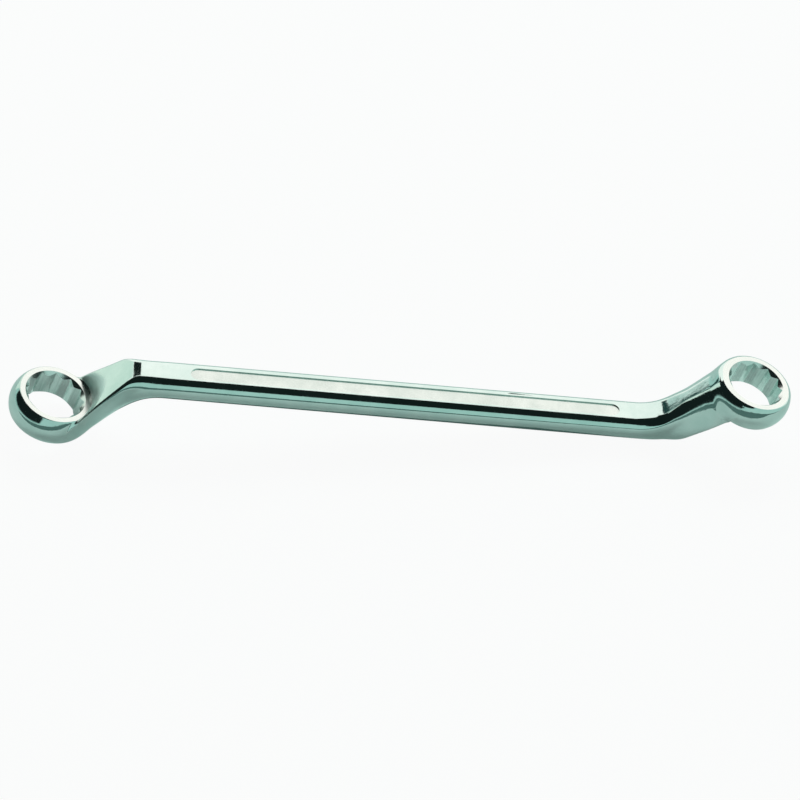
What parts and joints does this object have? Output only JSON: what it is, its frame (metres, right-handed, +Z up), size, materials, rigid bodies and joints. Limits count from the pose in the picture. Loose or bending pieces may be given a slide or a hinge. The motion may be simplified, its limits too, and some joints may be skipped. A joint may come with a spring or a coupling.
{
  "type": "ring spanner",
  "caption": "Offset ring spanner with a closed ring at each end, for turning hexagon nuts and bolt heads.",
  "frame": {"origin": "middle of the bounding box on the ground plane that the spanner rests on", "axes": "+X along the spanner from the low 17 mm ring to the high 16 mm ring, +Z up from the ground, +Y away from the viewer"},
  "size_m": [0.2516, 0.0276, 0.0264],
  "materials": {
    "spanner_body": "polished chrome plate on chrome-vanadium steel"
  },
  "bodies": {
    "root": {"spanner_body": "spanner_body"}
  },
  "joints": []
}
